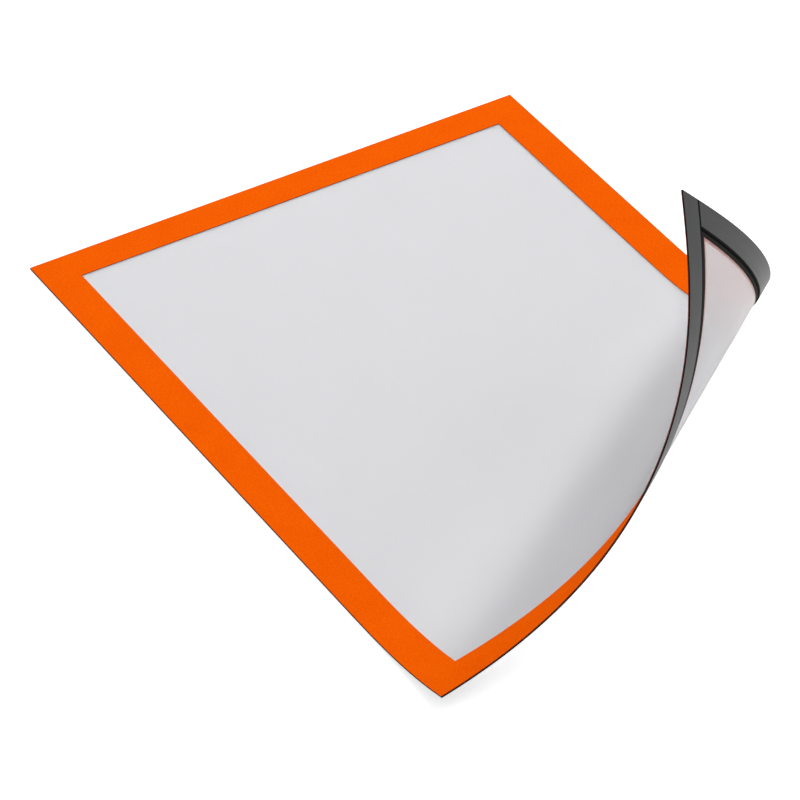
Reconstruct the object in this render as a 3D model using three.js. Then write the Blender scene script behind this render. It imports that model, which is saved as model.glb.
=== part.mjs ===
// A magnetic document pocket for an A4 sheet. It lies face up, with one corner rolled up and over.
//
// Millimetres, +Z up. X runs along the short sides and Y along the long ones. The origin is the
// middle of the flat outline, on the ground under the magnets.
//
// The pocket is a stack of thin layers: the front frame, the window film behind it, the backing
// frame behind the film's border, and four magnetic strips on the backing. All layers share one
// lattice of points on the sheet, and each layer fills the room between two common surfaces, so
// they meet face to face wherever the sheet bends.

import * as THREE from "three";

// Outline, and how wide the layers round the window are. The room between the magnetic strips
// holds an A4 sheet, 210 by 297, and the backing leaves a ledge of its own beside the strips.
const SHORT_SIDE = 236;
const LONG_SIDE = 323;
const FRAME_WIDTH = 15.8;
const BACKING_WIDTH = 14.7;
const STRIP_WIDTH = 12.1;
const STRIP_SEAM = 0.3;

// Layers, from the front to the back
const FRAME_THICKNESS = 0.25;
const FILM_THICKNESS = 0.1;
const BACKING_THICKNESS = 0.1;
const STRIP_THICKNESS = 0.4;

// Rolled corner. Its bend lines fan out from one point, the apex, so the roll is part of a cone.
// The apex is measured from the rolled corner, on the unrolled sheet. The fan is the angle from
// the first bend line to the one through the corner, and the turn is the whole roll's.
const APEX_RIGHT = 308;
const APEX_UP = 366.4;
const ROLL_FAN = THREE.MathUtils.degToRad(21.35);
const ROLL_TURN = THREE.MathUtils.degToRad(121.7);
// At 1 the bend is tightest midway. Under 1 it is tightest before that.
const ROLL_SKEW = 0.908;

// Cells of the lattice, and the folds that stand for the roll's smooth bend
const ROLL_CELL = 10;
const FLAT_CELL = 40;
const FOLDS = 240;

// The unrolled sheet, seen from the front
const LEFT = -SHORT_SIDE / 2;
const RIGHT = SHORT_SIDE / 2;
const NEAR = -LONG_SIDE / 2;
const FAR = LONG_SIDE / 2;
const apex = new THREE.Vector2(RIGHT + APEX_RIGHT, NEAR + APEX_UP);

// Heights of the surfaces between the layers, where the sheet is flat
const GROUND = 0;
const BACKING_BACK = GROUND + STRIP_THICKNESS;
const FILM_BACK = BACKING_BACK + BACKING_THICKNESS;
const FRAME_BACK = FILM_BACK + FILM_THICKNESS;
const FRONT = FRAME_BACK + FRAME_THICKNESS;

// Where the bend lines run, as angles seen from the apex
const cornerAngle = Math.atan2(NEAR - apex.y, RIGHT - apex.x);
const firstAngle = cornerAngle - ROLL_FAN;

// Adds the folds up, one after the other: entry i turns what lies past the first i folds.
function addUpFolds() {
  const shares = [];
  for (let i = 0; i < FOLDS; i += 1) {
    shares.push(Math.sin(Math.PI * ((i + 0.5) / FOLDS) ** ROLL_SKEW));
  }
  const whole = shares.reduce((sum, share) => sum + share, 0);
  const turns = [new THREE.Matrix4()];
  shares.forEach((share, i) => {
    const angle = firstAngle + (ROLL_FAN * (i + 0.5)) / FOLDS;
    const bendLine = new THREE.Vector3(Math.cos(angle), Math.sin(angle), 0);
    const fold = new THREE.Matrix4().makeRotationAxis(bendLine, (ROLL_TURN * share) / whole);
    turns.push(turns[i].clone().multiply(fold));
  });
  return turns;
}

const turnsPast = addUpFolds();

// Takes a point of the unrolled sheet along with the roll. The front surface keeps its lengths,
// and a point under it stays square under its place on that surface.
function place(x, y, height) {
  const arm = new THREE.Vector2(x, y).sub(apex);
  const fromFirst = arm.clone().rotateAround(new THREE.Vector2(), -firstAngle);
  const folds = (Math.atan2(fromFirst.y, fromFirst.x) / ROLL_FAN) * FOLDS;
  const turn = turnsPast[THREE.MathUtils.clamp(Math.round(folds), 0, FOLDS)];
  const point = new THREE.Vector3(arm.x, arm.y, height - FRONT).applyMatrix4(turn);
  return point.add(new THREE.Vector3(apex.x, apex.y, FRONT));
}

// The lattice has a line at every stop, and even steps between them. Steps below `fineEnd` are
// as fine as the roll needs.
function latticeLines(unsortedStops, fineEnd) {
  const stops = unsortedStops.toSorted((a, b) => a - b);
  const lines = [stops[0]];
  stops.slice(1).forEach((stop, i) => {
    const span = stop - stops[i];
    const steps = Math.ceil(span / (stop <= fineEnd ? ROLL_CELL : FLAT_CELL));
    for (let step = 1; step <= steps; step += 1) {
      lines.push(stops[i] + (span * step) / steps);
    }
  });
  return lines;
}

// The first bend line leaves the sheet at its right side, and the roll lies below that height.
const rollTop = apex.y - APEX_RIGHT * Math.tan(firstAngle);
const insets = [0, STRIP_WIDTH, STRIP_WIDTH + STRIP_SEAM, BACKING_WIDTH, FRAME_WIDTH];
const columns = latticeLines([
  ...insets.map((inset) => LEFT + inset),
  ...insets.map((inset) => RIGHT - inset),
], RIGHT);
const rows = latticeLines([
  ...insets.map((inset) => NEAR + inset),
  ...insets.map((inset) => FAR - inset),
  THREE.MathUtils.clamp(rollTop, NEAR + FRAME_WIDTH, FAR - FRAME_WIDTH),
], rollTop);

// One closed body: the lattice cells whose middle is in the outline, from one height to another.
function layerGeometry(inOutline, bottom, top) {
  const positions = [];
  const triangles = [];
  const numbers = new Map();

  function corner(i, j, height) {
    const key = [i, j, height].join();
    if (!numbers.has(key)) {
      numbers.set(key, numbers.size);
      positions.push(...place(columns[i], rows[j], height).toArray());
    }
    return numbers.get(key);
  }

  function hasCell(i, j) {
    if (i < 0 || j < 0 || i > columns.length - 2 || j > rows.length - 2) return false;
    return inOutline((columns[i] + columns[i + 1]) / 2, (rows[j] + rows[j + 1]) / 2);
  }

  // The cell's two triangles meet on the diagonal that runs most nearly along the bend lines.
  function addFace(i, j, height, facesUp) {
    const [a, b] = [corner(i, j, height), corner(i + 1, j, height)];
    const [c, d] = [corner(i + 1, j + 1, height), corner(i, j + 1, height)];
    triangles.push(...(facesUp ? [a, b, c, a, c, d] : [a, c, b, a, d, c]));
  }

  function addWall(i0, j0, i1, j1) {
    const [a, b] = [corner(i0, j0, bottom), corner(i1, j1, bottom)];
    const [c, d] = [corner(i1, j1, top), corner(i0, j0, top)];
    triangles.push(a, b, c, a, c, d);
  }

  for (let i = 0; i < columns.length - 1; i += 1) {
    for (let j = 0; j < rows.length - 1; j += 1) {
      if (!hasCell(i, j)) continue;
      addFace(i, j, top, true);
      addFace(i, j, bottom, false);
      if (!hasCell(i, j - 1)) addWall(i, j, i + 1, j);
      if (!hasCell(i + 1, j)) addWall(i + 1, j, i + 1, j + 1);
      if (!hasCell(i, j + 1)) addWall(i + 1, j + 1, i, j + 1);
      if (!hasCell(i - 1, j)) addWall(i, j + 1, i, j);
    }
  }

  const geometry = new THREE.BufferGeometry();
  geometry.setAttribute("position", new THREE.Float32BufferAttribute(positions, 3));
  geometry.setIndex(triangles);
  return geometry;
}

function layer(name, geometry, color, roughness) {
  const material = new THREE.MeshStandardMaterial({ color, roughness, flatShading: true });
  const mesh = new THREE.Mesh(geometry, material);
  mesh.name = name;
  return mesh;
}

// Whether a place is within a border that goes all the way round.
function inBorder(x, y, width) {
  return Math.abs(x) > RIGHT - width || Math.abs(y) > FAR - width;
}

function frontFrame() {
  const inFrame = (x, y) => inBorder(x, y, FRAME_WIDTH);
  return layer("front_frame", layerGeometry(inFrame, FRAME_BACK, FRONT), "#f55a00", 0.5);
}

function windowFilm() {
  const film = layer("window_film", layerGeometry(() => true, FILM_BACK, FRAME_BACK), "#dcdde0", 0.6);
  film.material.transparent = true;
  film.material.opacity = 0.6;
  return film;
}

function backingFrame() {
  const inBacking = (x, y) => inBorder(x, y, BACKING_WIDTH);
  return layer("backing_frame", layerGeometry(inBacking, BACKING_BACK, FILM_BACK), "#2b2b29", 0.6);
}

function magnetStrip(name, inOutline) {
  return layer(name, layerGeometry(inOutline, GROUND, BACKING_BACK), "#3e3f41", 0.55);
}

// The two short strips run from edge to edge, and the long ones butt against them.
function magnetStrips() {
  const betweenShort = (y) => Math.abs(y) < FAR - STRIP_WIDTH - STRIP_SEAM;
  return [
    magnetStrip("magnet_strip_near", (x, y) => y < NEAR + STRIP_WIDTH),
    magnetStrip("magnet_strip_far", (x, y) => y > FAR - STRIP_WIDTH),
    magnetStrip("magnet_strip_left", (x, y) => x < LEFT + STRIP_WIDTH && betweenShort(y)),
    magnetStrip("magnet_strip_right", (x, y) => x > RIGHT - STRIP_WIDTH && betweenShort(y)),
  ];
}

const documentPocket = new THREE.Group();
documentPocket.add(frontFrame(), windowFilm(), backingFrame(), ...magnetStrips());

export default documentPocket;
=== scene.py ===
# %% [markdown]
# # A magnetic document pocket
#
# The pocket holds one A4 sheet against a steel door or a whiteboard. It is a stack of thin
# layers: an orange front frame, a clear matt window film, a dark backing frame and four magnetic
# strips. It lies on a white table with one corner rolled up, so both of its sides show.
#
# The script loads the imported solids, lays a fine and smooth version of each layer in their place,
# gives each layer its finish, and sets up the light and the camera.

# %% Load the frame
import math

import bpy
import numpy as np
from mathutils import Matrix, Vector


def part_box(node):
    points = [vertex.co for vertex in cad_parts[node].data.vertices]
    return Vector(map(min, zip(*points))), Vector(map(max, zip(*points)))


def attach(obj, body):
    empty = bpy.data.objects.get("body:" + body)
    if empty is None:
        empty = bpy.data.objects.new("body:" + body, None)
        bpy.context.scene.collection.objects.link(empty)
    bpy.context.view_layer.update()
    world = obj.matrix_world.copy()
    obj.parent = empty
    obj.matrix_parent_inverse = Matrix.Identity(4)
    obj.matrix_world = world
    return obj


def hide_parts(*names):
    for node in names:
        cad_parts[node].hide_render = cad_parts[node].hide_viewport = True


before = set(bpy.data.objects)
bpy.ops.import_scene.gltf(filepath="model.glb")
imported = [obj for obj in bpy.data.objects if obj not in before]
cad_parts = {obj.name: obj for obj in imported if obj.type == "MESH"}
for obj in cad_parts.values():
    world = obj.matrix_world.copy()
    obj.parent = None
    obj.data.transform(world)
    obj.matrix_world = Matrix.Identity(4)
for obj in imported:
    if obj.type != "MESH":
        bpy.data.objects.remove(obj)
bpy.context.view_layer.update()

# %% [markdown]
# ## Sizes
#
# The far strip lies flat, so its box gives the outline's width, the far edge and how thick a
# strip is. The other layers are thin, and their widths and thicknesses are the solids' own.

# %% Outline and layers
far_strip_low, far_strip_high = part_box("magnet_strip_far")
RIGHT = float(far_strip_high[0])
FAR = float(far_strip_high[1])
LEFT = -RIGHT
NEAR = -FAR

FRAME_WIDTH = 0.0158
BACKING_WIDTH = 0.0147
STRIP_WIDTH = 0.0121
STRIP_SEAM = 0.0003

STRIP_THICKNESS = float(far_strip_high[2] - far_strip_low[2])
BACKING_THICKNESS = 0.0001
FILM_THICKNESS = 0.0001
FRAME_THICKNESS = 0.00025

BACKING_BACK = STRIP_THICKNESS
FILM_BACK = BACKING_BACK + BACKING_THICKNESS
FRAME_BACK = FILM_BACK + FILM_THICKNESS
FRONT = FRAME_BACK + FRAME_THICKNESS
print(f"outline {2000 * RIGHT:.1f} by {2000 * FAR:.1f} mm, {1000 * FRONT:.2f} mm thick")

# %% [markdown]
# ## The rolled corner
#
# A sheet that can't stretch bends only along straight lines. Here the bend lines fan out from one
# point outside the sheet, so the roll is part of a cone: tight near the free side and wide near
# the corner that stays down. The bend starts gently, is tightest near its middle, and fades out
# towards the corner. Adding up 240 small folds, each about its own bend line, gives the smooth
# roll with no formula for the cone itself.

# %% The roll
APEX = np.array([RIGHT + 0.308, NEAR + 0.3664])
ROLL_FAN = math.radians(21.35)
ROLL_TURN = math.radians(121.7)
ROLL_SKEW = 0.908
FOLDS = 240

corner_angle = math.atan2(NEAR - APEX[1], RIGHT - APEX[0])
first_angle = corner_angle - ROLL_FAN


def add_up_folds():
    """Entry i of the result is the rotation of what lies past the first i folds.

    Fold i turns by a share of the whole roll: the sine of pi times its place in the fan, raised
    to the skew. Each fold's rotation is multiplied onto those before it.
    """
    place_in_fan = (np.arange(FOLDS) + 0.5) / FOLDS
    share = np.sin(np.pi * place_in_fan ** ROLL_SKEW)
    turns = ROLL_TURN * share / share.sum()
    rotations = [np.eye(3)]
    for turn, angle in zip(turns, first_angle + ROLL_FAN * place_in_fan):
        bend_line = Vector((math.cos(angle), math.sin(angle), 0))
        rotations.append(rotations[-1] @ np.array(Matrix.Rotation(turn, 3, bend_line)))
    return np.array(rotations)


rotations_past = add_up_folds()


def place(points):
    """Carries points of the unrolled sheet along with the roll.

    A point's angle about the apex, counted from the first bend line, says how many folds lie
    before it. Its arm from the apex, with its height counted from the front surface, is turned
    by all of them together.
    """
    arm = points - np.array([APEX[0], APEX[1], FRONT])
    cosine, sine = math.cos(first_angle), math.sin(first_angle)
    along = arm[:, 0] * cosine + arm[:, 1] * sine
    across = arm[:, 1] * cosine - arm[:, 0] * sine
    folds = np.arctan2(across, along) / ROLL_FAN * FOLDS
    rotation = rotations_past[np.clip(np.rint(folds), 0, FOLDS).astype(int)]
    return np.einsum("nij,nj->ni", rotation, arm) + np.array([APEX[0], APEX[1], FRONT])


tip = place(np.array([[RIGHT, NEAR, FRONT]]))[0]
print("the rolled corner's tip is", (1000 * tip).round(1), "mm from the middle of the sheet")

# %% [markdown]
# ## Cutting the layers
#
# Every layer is the same kind of shape: a flat outline on the sheet, filled from one height to
# another, and then rolled. One function makes them all from a grid of lines and a mask that says
# which cells of the grid belong to the layer. The edges get a hair-thin chamfer, as a cut film
# has, so that they catch the light.
#
# Each corner also remembers where it was on the unrolled sheet. The grain follows that place, and
# so runs round the roll with the film, and its height tells the front from the cut edge.

# %% Grid and mask
CELL = 0.002
CHAMFER = 0.00003
SHARP_ANGLE = math.radians(25)
# Lines are rounded to this many decimals of a metre, so that two at one place become one.
LINE_DECIMALS = 7


def grid_lines(stops):
    """Even steps of about one cell between the stops, with a line a chamfer beside each stop."""
    beside = (stop + side * CHAMFER for stop in stops for side in (-1, 0, 1))
    edges = sorted({round(edge, LINE_DECIMALS) for edge in beside})
    edges = [edge for edge in edges if min(stops) <= edge <= max(stops)]
    lines = [edges[:1]]
    for start, end in zip(edges, edges[1:]):
        steps = max(1, round((end - start) / CELL))
        lines.append(np.linspace(start, end, steps + 1)[1:])
    return np.concatenate(lines)


def border_mask(x_lines, y_lines, width):
    """True for the cells whose middle is nearer than the width to the sheet's outline."""
    x, y = np.meshgrid((x_lines[1:] + x_lines[:-1]) / 2, (y_lines[1:] + y_lines[:-1]) / 2,
                       indexing="ij")
    return (np.abs(x) > RIGHT - width) | (np.abs(y) > FAR - width)


print("a grid over the whole sheet:", len(grid_lines([LEFT, RIGHT])), "by",
      len(grid_lines([NEAR, FAR])), "lines")

# %% A layer's mesh
def layer(name, x_lines, y_lines, has_cell, bottom, top):
    """A closed body over the cells of the mask, between two heights, taken along with the roll.

    The grid's points are laid out twice, at the bottom and at the top. Points that touch a cell
    outside the mask lie on the edge, and come in by the chamfer's height. Each cell gives a face
    above and one below, and each side between a cell and none gives a wall.
    """
    nx, ny = has_cell.shape
    number = np.arange((nx + 1) * (ny + 1)).reshape(nx + 1, ny + 1)
    around = np.zeros((nx + 3, ny + 3), dtype=bool)
    around[1:-2, 1:-2] = has_cell
    neighbours = [around[i:i + nx + 1, j:j + ny + 1] for i in (0, 1) for j in (0, 1)]
    on_edge = ~np.all(neighbours, axis=0)

    x, y = np.meshgrid(x_lines, y_lines, indexing="ij")
    low = np.where(on_edge, bottom + CHAMFER, bottom)
    high = np.where(on_edge, top - CHAMFER, top)
    flat = np.concatenate([np.stack([x, y, z], axis=-1).reshape(-1, 3) for z in (low, high)])
    above = number.size

    a, b = number[:-1, :-1][has_cell], number[1:, :-1][has_cell]
    c, d = number[1:, 1:][has_cell], number[:-1, 1:][has_cell]
    quads = [np.stack([a, b, c, d], axis=1) + above, np.stack([a, d, c, b], axis=1)]
    inside = around[1:-2, 1:-2]
    sides = [
        (inside & ~around[1:-2, :-3], (0, 0), (1, 0)),
        (inside & ~around[2:-1, 1:-2], (1, 0), (1, 1)),
        (inside & ~around[1:-2, 2:-1], (1, 1), (0, 1)),
        (inside & ~around[:-3, 1:-2], (0, 1), (0, 0)),
    ]
    for is_open, start, end in sides:
        i, j = np.nonzero(is_open)
        first = number[i + start[0], j + start[1]]
        second = number[i + end[0], j + end[1]]
        quads.append(np.stack([first, second, second + above, first + above], axis=1))

    faces = np.concatenate(quads)
    used, faces = np.unique(faces, return_inverse=True)
    return mesh_object(name, flat[used], faces.reshape(-1, 4))


def mesh_object(name, flat, faces):
    """Makes the object, with smooth faces, sharp cut edges and the unrolled place of each point."""
    mesh = bpy.data.meshes.new(name)
    mesh.from_pydata(place(flat), [], faces)
    mesh.attributes.new("unrolled", "FLOAT_VECTOR", "POINT")
    mesh.attributes["unrolled"].data.foreach_set("vector", flat.ravel())
    mesh.shade_smooth()
    mesh.set_sharp_from_angle(angle=SHARP_ANGLE)
    mesh.validate()
    piece = bpy.data.objects.new(name, mesh)
    bpy.context.scene.collection.objects.link(piece)
    print(f"{name}: {len(flat)} points, {2 * len(faces)} triangles")
    return piece


# %% [markdown]
# ## The layers
#
# The front frame and the backing frame are rings. The window film covers the whole outline
# between them. The short strips run from edge to edge, and the long strips butt against them,
# with a hair of a seam.

# %% Frames and window film
def ring(name, width, bottom, top):
    """A border of one width, all the way round the sheet."""
    x_lines = grid_lines([LEFT, LEFT + width, RIGHT - width, RIGHT])
    y_lines = grid_lines([NEAR, NEAR + width, FAR - width, FAR])
    return layer(name, x_lines, y_lines, border_mask(x_lines, y_lines, width), bottom, top)


def rectangle(name, x_stops, y_stops, bottom, top):
    """A plain rectangle of the sheet."""
    x_lines = grid_lines(x_stops)
    y_lines = grid_lines(y_stops)
    whole = np.ones((len(x_lines) - 1, len(y_lines) - 1), dtype=bool)
    return layer(name, x_lines, y_lines, whole, bottom, top)


front_frame = ring("orange_frame", FRAME_WIDTH, FRAME_BACK, FRONT)
backing_frame = ring("dark_backing", BACKING_WIDTH, BACKING_BACK, FILM_BACK)
window_film = rectangle("matt_film", [LEFT, RIGHT], [NEAR, FAR], FILM_BACK, FRAME_BACK)

# %% Magnetic strips
between = [NEAR + STRIP_WIDTH + STRIP_SEAM, FAR - STRIP_WIDTH - STRIP_SEAM]
strip_places = {
    "near": ([LEFT, RIGHT], [NEAR, NEAR + STRIP_WIDTH]),
    "far": ([LEFT, RIGHT], [FAR - STRIP_WIDTH, FAR]),
    "left": ([LEFT, LEFT + STRIP_WIDTH], between),
    "right": ([RIGHT - STRIP_WIDTH, RIGHT], between),
}
strips = {
    side: rectangle(f"strip_{side}", x_stops, y_stops, 0.0, BACKING_BACK)
    for side, (x_stops, y_stops) in strip_places.items()
}

# %% [markdown]
# ## Writing materials
#
# A finish is a small sum: a colour, plus some grain, times a mask. Wrapping a socket in a class
# with + and * lets each finish be written as that sum, and the class adds the nodes.

# %% A socket that can be added and multiplied
class Socket:
    """A node's output, or a plain number, with arithmetic that adds Math nodes."""

    def __init__(self, shader, value):
        self.shader = shader
        self.value = value

    def math(self, operation, *others):
        node = self.shader.tree.nodes.new("ShaderNodeMath")
        node.operation = operation
        for socket, value in zip(node.inputs, (self, *others)):
            self.shader.plug(socket, value)
        return Socket(self.shader, node.outputs[0])

    def __add__(self, other):
        return self.math("ADD", other)

    def __sub__(self, other):
        return self.math("SUBTRACT", other)

    def __rsub__(self, other):
        return Socket(self.shader, other).math("SUBTRACT", self)

    def __mul__(self, other):
        return self.math("MULTIPLY", other)

    def __gt__(self, other):
        return self.math("GREATER_THAN", other)

    def __lt__(self, other):
        return self.math("LESS_THAN", other)

    __radd__ = __add__
    __rmul__ = __mul__

    def clamped(self):
        return self.math("MAXIMUM", 0.0).math("MINIMUM", 1.0)


class Shader:
    """A material's nodes. `node` adds any node by its type, settings and inputs."""

    def __init__(self, name):
        self.material = bpy.data.materials.new(name)
        self.material.use_nodes = True
        self.tree = self.material.node_tree
        self.surface = self.tree.nodes["Principled BSDF"]

    def plug(self, socket, value):
        if isinstance(value, Socket):
            value = value.value
        if isinstance(value, bpy.types.NodeSocket):
            self.tree.links.new(value, socket)
        else:
            socket.default_value = value

    def node(self, kind, output=0, settings=None, **inputs):
        made = self.tree.nodes.new("ShaderNode" + kind)
        for setting, value in (settings or {}).items():
            setattr(made, setting, value)
        for name, value in inputs.items():
            self.plug(made.inputs[name.replace("_", " ")], value)
        return Socket(self, made.outputs[output])

    def set(self, **inputs):
        for name, value in inputs.items():
            self.plug(self.surface.inputs[name.replace("_", " ")], value)

    def report(self):
        print(f"{self.material.name}: {len(self.tree.nodes)} nodes")

    def mix(self, factor, colour_a, colour_b):
        """A Mix node has sockets for each kind of value, and these are the ones for colours."""
        made = self.tree.nodes.new("ShaderNodeMix")
        made.data_type = "RGBA"
        self.plug(made.inputs["Factor"], factor)
        self.plug(made.inputs[6], colour_a)
        self.plug(made.inputs[7], colour_b)
        return Socket(self, made.outputs[2])


def colour(red, green, blue):
    """The linear colour of an sRGB one that is given from 0 to 255."""
    srgb = np.array([red, green, blue]) / 255
    linear = np.where(srgb <= 0.04045, srgb / 12.92, ((srgb + 0.055) / 1.055) ** 2.4)
    return (*[float(v) for v in linear], 1.0)


print("half grey in linear light:", round(colour(128, 128, 128)[0], 3))

# %% Things that all finishes share
def unrolled_place(shader):
    """Where a point was on the unrolled sheet, and its height there."""
    place_there = shader.node("Attribute", 1, {"attribute_name": "unrolled"})
    height = shader.node("SeparateXYZ", 2, Vector=place_there)
    return place_there, height


def on_faces(height, bottom, top):
    """1 on a layer's two faces and 0 on its cut edge, which starts a chamfer in from each."""
    return (height > top - 0.5 * CHAMFER) + (height < bottom + 0.5 * CHAMFER)


def grain(shader, at, grains_per_metre, detail=2.0):
    """A fine noise with so many grains to the metre, spread out to fill 0 to 1."""
    noise = shader.node("TexNoise", 0, Vector=at, Scale=grains_per_metre, Detail=detail,
                        Roughness=0.6)
    return ((noise - 0.5) * 2.0 + 0.5).clamped()


# %% [markdown]
# ## Orange frame
#
# The frame is a satin film with a very fine grain, which breaks up its shine. The shine is faint
# and has the film's own colour, as a pearly pigment gives, so it is a trace of metal rather than
# the white shine of a varnish. Its cut edge is a deep red. Height tells the two apart: the faces
# lie at the layer's own heights, and the edge starts a chamfer in from them.

# %% Orange finish
orange = Shader("orange film")
at, height = unrolled_place(orange)
fine_grain = grain(orange, at, 1300.0)
patches = grain(orange, at, 60.0)
face = orange.mix(fine_grain * 0.8 + patches * 0.2, colour(231, 79, 0), colour(253, 107, 0))
orange.set(
    Base_Color=orange.mix(on_faces(height, FRAME_BACK, FRONT), colour(110, 26, 12), face),
    Roughness=0.34 + 0.12 * fine_grain,
    Metallic=0.04,
    Specular_IOR_Level=0.0,
    Normal=orange.node("Bump", 0, Height=fine_grain, Strength=0.4, Distance=0.00005),
)
orange.report()

# %% [markdown]
# ## Window film
#
# The film is clear, with a matt surface that stops reflections. What touches it shows through
# sharply, as a document does, and what lies further off is a blur. A rough transmission gives
# both, because it spreads the light by an angle, and some diffuse colour is left for the haze.
# Its cut edge is painted near black, a painted shade, since little light comes out there.

# %% Film finish
film = Shader("matt window film")
at, height = unrolled_place(film)
haze_grain = grain(film, at, 1800.0)
haze = film.mix(haze_grain, colour(238, 238, 241), colour(245, 245, 248))
film.set(
    # The cut edge's near black is painted shade
    Base_Color=film.mix(on_faces(height, FILM_BACK, FRAME_BACK), colour(12, 8, 7), haze),
    Roughness=0.33 + 0.06 * haze_grain,
    Transmission_Weight=0.92,
    IOR=1.5,
    Normal=film.node("Bump", 0, Height=haze_grain, Strength=0.28, Distance=0.00005),
)
film.report()

# %% [markdown]
# ## Backing and magnetic strips
#
# The backing is a matt black film. Beside the strips it is painted black, a painted shade that
# stands in for the strips' step and the shadow in it. The strips are rolled from rubber that is
# full of iron powder: dark grey, smooth, with a satin shine and faint streaks along the strip
# from the rolls. Their cut edges are black.

# %% Dark finishes
# The width of the band of painted shade beside the strips
STRIP_SHADE_BAND = 0.0007

backing = Shader("black backing film")
at, _ = unrolled_place(backing)
backing_grain = grain(backing, at, 1800.0)
x, y = (backing.node("SeparateXYZ", axis, Vector=at).math("ABSOLUTE") for axis in (0, 1))
inset = (RIGHT - x).math("MINIMUM", FAR - y)
# Painted shade: black for half a band from the strips on, and faded out one whole band further
painted_shade_by_strips = ((inset - STRIP_WIDTH) * (1.0 / STRIP_SHADE_BAND) - 0.5).clamped()
ledge = backing.mix(backing_grain, colour(38, 36, 33), colour(46, 43, 39))
# Base colour: painted shade beside the strips, then the ledge's own dark grey
backing.set(
    Base_Color=backing.mix(painted_shade_by_strips, colour(3, 3, 3), ledge),
    Roughness=0.7 + 0.1 * backing_grain,
    Specular_IOR_Level=0.04,
    Normal=backing.node("Bump", 0, Height=backing_grain, Strength=0.1, Distance=0.00002),
)
backing.report()


def magnet_finish(name, grains_per_metre):
    """Dark rubber with streaks along one axis: few grains along it and many across."""
    magnet = Shader(name)
    at, height = unrolled_place(magnet)
    stretched = magnet.node("Mapping", 0, Vector=at, Scale=grains_per_metre)
    streak = grain(magnet, stretched, 1.0, detail=3.0)
    powder = grain(magnet, at, 2400.0)
    is_face = on_faces(height, 0.0, BACKING_BACK)
    face = magnet.mix(powder * 0.5 + streak * 0.5, colour(22, 23, 23), colour(33, 34, 35))
    magnet.set(
        Base_Color=magnet.mix(is_face, colour(2, 2, 2), face),
        Roughness=1.0 - is_face * (0.68 - 0.08 * powder - 0.08 * streak),
        Specular_IOR_Level=0.2,
        Normal=magnet.node("Bump", 0, Height=powder, Strength=0.12, Distance=0.00002),
    )
    magnet.report()
    return magnet.material


along_x = magnet_finish("magnetic rubber, short strips", (40.0, 900.0, 900.0))
along_y = magnet_finish("magnetic rubber, long strips", (900.0, 40.0, 900.0))

# %% [markdown]
# ## Putting it together
#
# Each layer gets its finish. Then the frame hears what each layer stands for: it rides on the
# pocket's only body and takes the place of one of the solids.

# %% Put the finishes on
front_frame.data.materials.append(orange.material)
window_film.data.materials.append(film.material)
backing_frame.data.materials.append(backing.material)
for side, strip in strips.items():
    strip.data.materials.append(along_x if side in ("near", "far") else along_y)
print("finished", 3 + len(strips), "layers")

# %% Tell the frame what stands for what
for piece, node, slot in [
    (front_frame, "front_frame", "frame_orange"),
    (window_film, "window_film", "film_clear"),
    (backing_frame, "backing_frame", "backing_dark"),
    *[(strip, f"magnet_strip_{side}", "magnet_grey") for side, strip in strips.items()],
]:
    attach(piece, "root")
    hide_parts(node)
print("replaced all", len(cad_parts), "solids")

# %% [markdown]
# ## Table
#
# A white table that goes on past the picture. The camera sees it brighter than the light makes
# it, and so do reflections, so that it is plain white but still takes the pocket's shadow. Through
# the film it gets only a little on top, because there the film's own haze is what shows.

# %% White table
TABLE_HALF = 6.0
TABLE_GAP = 0.0001
TABLE_LIFT = 0.62
SEEN_THROUGH_LIFT = 0.17
PLAIN_WHITE = (1.0, 1.0, 1.0, 1.0)


def brightening(shader, seen, seen_through_film):
    """What a ray from the camera or a mirrored one gets on top, and one through the film.

    A ray that the rough film let through counts as glossy as well, so it is taken out there.
    """
    camera_ray = shader.node("LightPath", "Is Camera Ray")
    glossy_ray = shader.node("LightPath", "Is Glossy Ray")
    film_ray = shader.node("LightPath", "Is Transmission Ray")
    return seen * (camera_ray + glossy_ray * (1 - film_ray)) + seen_through_film * film_ray


table_mesh = bpy.data.meshes.new("table")
table_corners = [
    (x * TABLE_HALF, y * TABLE_HALF, -TABLE_GAP)
    for x, y in ((-1, -1), (1, -1), (1, 1), (-1, 1))
]
table_mesh.from_pydata(table_corners, [], [(0, 1, 2, 3)])
table = bpy.data.objects.new("table", table_mesh)
bpy.context.scene.collection.objects.link(table)

white = Shader("white table")
white.set(Base_Color=colour(238, 238, 238), Roughness=0.9, Specular_IOR_Level=0.0)
lift = white.node("Emission", Color=PLAIN_WHITE,
                  Strength=brightening(white, TABLE_LIFT, SEEN_THROUGH_LIFT))
both = white.node("AddShader").value
white.plug(both.node.inputs[0], white.surface.outputs[0])
white.plug(both.node.inputs[1], lift)
white.plug(white.tree.nodes["Material Output"].inputs[0], both)
table_mesh.materials.append(white.material)
white.report()
print(f"table: {2 * TABLE_HALF:.0f} m wide")

# %% [markdown]
# ## Light
#
# Soft studio light: an even white sky and two large lamps. The one behind stands where a flat
# mirror would show it to the camera. It gives the matt film its sheen, which fades where the film
# turns up, and it leaves the near cut edge dark. The one overhead lights the back of the roll.

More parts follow.
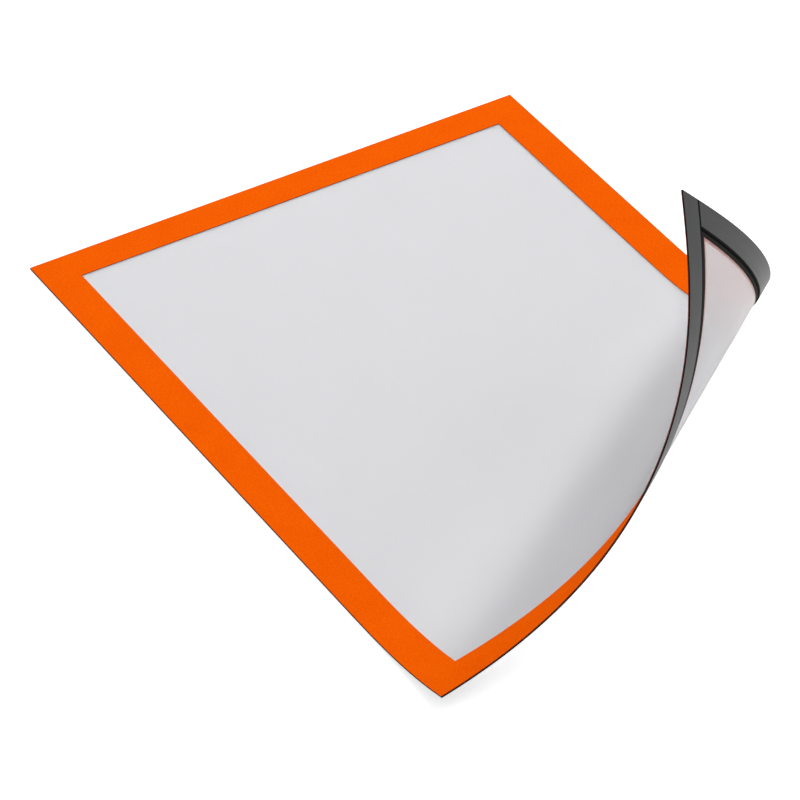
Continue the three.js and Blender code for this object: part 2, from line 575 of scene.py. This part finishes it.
# %% Sky and lamps
SKY_LIGHT = 0.55
world = bpy.data.worlds.new("white studio")
world.use_nodes = True
bpy.context.scene.world = world
sky = world.node_tree.nodes["Background"]
sky.inputs["Color"].default_value = PLAIN_WHITE
sky.inputs["Strength"].default_value = SKY_LIGHT


def soft_lamp(name, place_at, size, power):
    """A square area lamp at one place, turned towards the middle of the pocket."""
    lamp_data = bpy.data.lights.new(name, "AREA")
    lamp_data.size = size
    lamp_data.energy = power
    lamp = bpy.data.objects.new(name, lamp_data)
    lamp.location = place_at
    lamp.rotation_euler = (-Vector(place_at)).to_track_quat("-Z", "Y").to_euler()
    bpy.context.scene.collection.objects.link(lamp)
    print(f"{name}: {size} m wide, {power:.0f} W")


soft_lamp("back lamp", place_at=(1.25, 2.5, 2.17), size=1.9, power=50.0)
soft_lamp("top lamp", place_at=(1.3, -0.8, 2.6), size=2.1, power=20.0)

# %% [markdown]
# ## Camera
#
# The photograph was taken with a long lens from about two metres, from the pocket's near left
# corner. The values come from laying the sheet's straight edges over the photograph's.

# %% Camera
CAMERA_AZIMUTH = math.radians(-31.487)
CAMERA_ELEVATION = math.radians(38.568)
CAMERA_ROLL = math.radians(-0.217)
CAMERA_DISTANCE = 2.03616
LOOK_AT = Vector((-0.03383, 0.00576, FRONT))
LENS_PER_SENSOR = 6.3516
SENSOR = 36.0

towards_camera = Vector((
    math.sin(CAMERA_AZIMUTH) * math.cos(CAMERA_ELEVATION),
    -math.cos(CAMERA_AZIMUTH) * math.cos(CAMERA_ELEVATION),
    math.sin(CAMERA_ELEVATION),
))
camera_data = bpy.data.cameras.new("camera")
camera_data.sensor_width = SENSOR
camera_data.lens = LENS_PER_SENSOR * SENSOR
camera_data.clip_end = 50.0
camera = bpy.data.objects.new("camera", camera_data)
camera.location = LOOK_AT + CAMERA_DISTANCE * towards_camera
level = (-towards_camera).to_track_quat("-Z", "Y").to_matrix()
camera.rotation_euler = (level @ Matrix.Rotation(CAMERA_ROLL, 3, "Z")).to_euler()
bpy.context.scene.collection.objects.link(camera)
bpy.context.scene.camera = camera
bpy.context.scene.view_settings.view_transform = "Standard"
print("camera at", [round(v, 3) for v in camera.location], "with a lens of",
      round(camera_data.lens, 1), "mm")
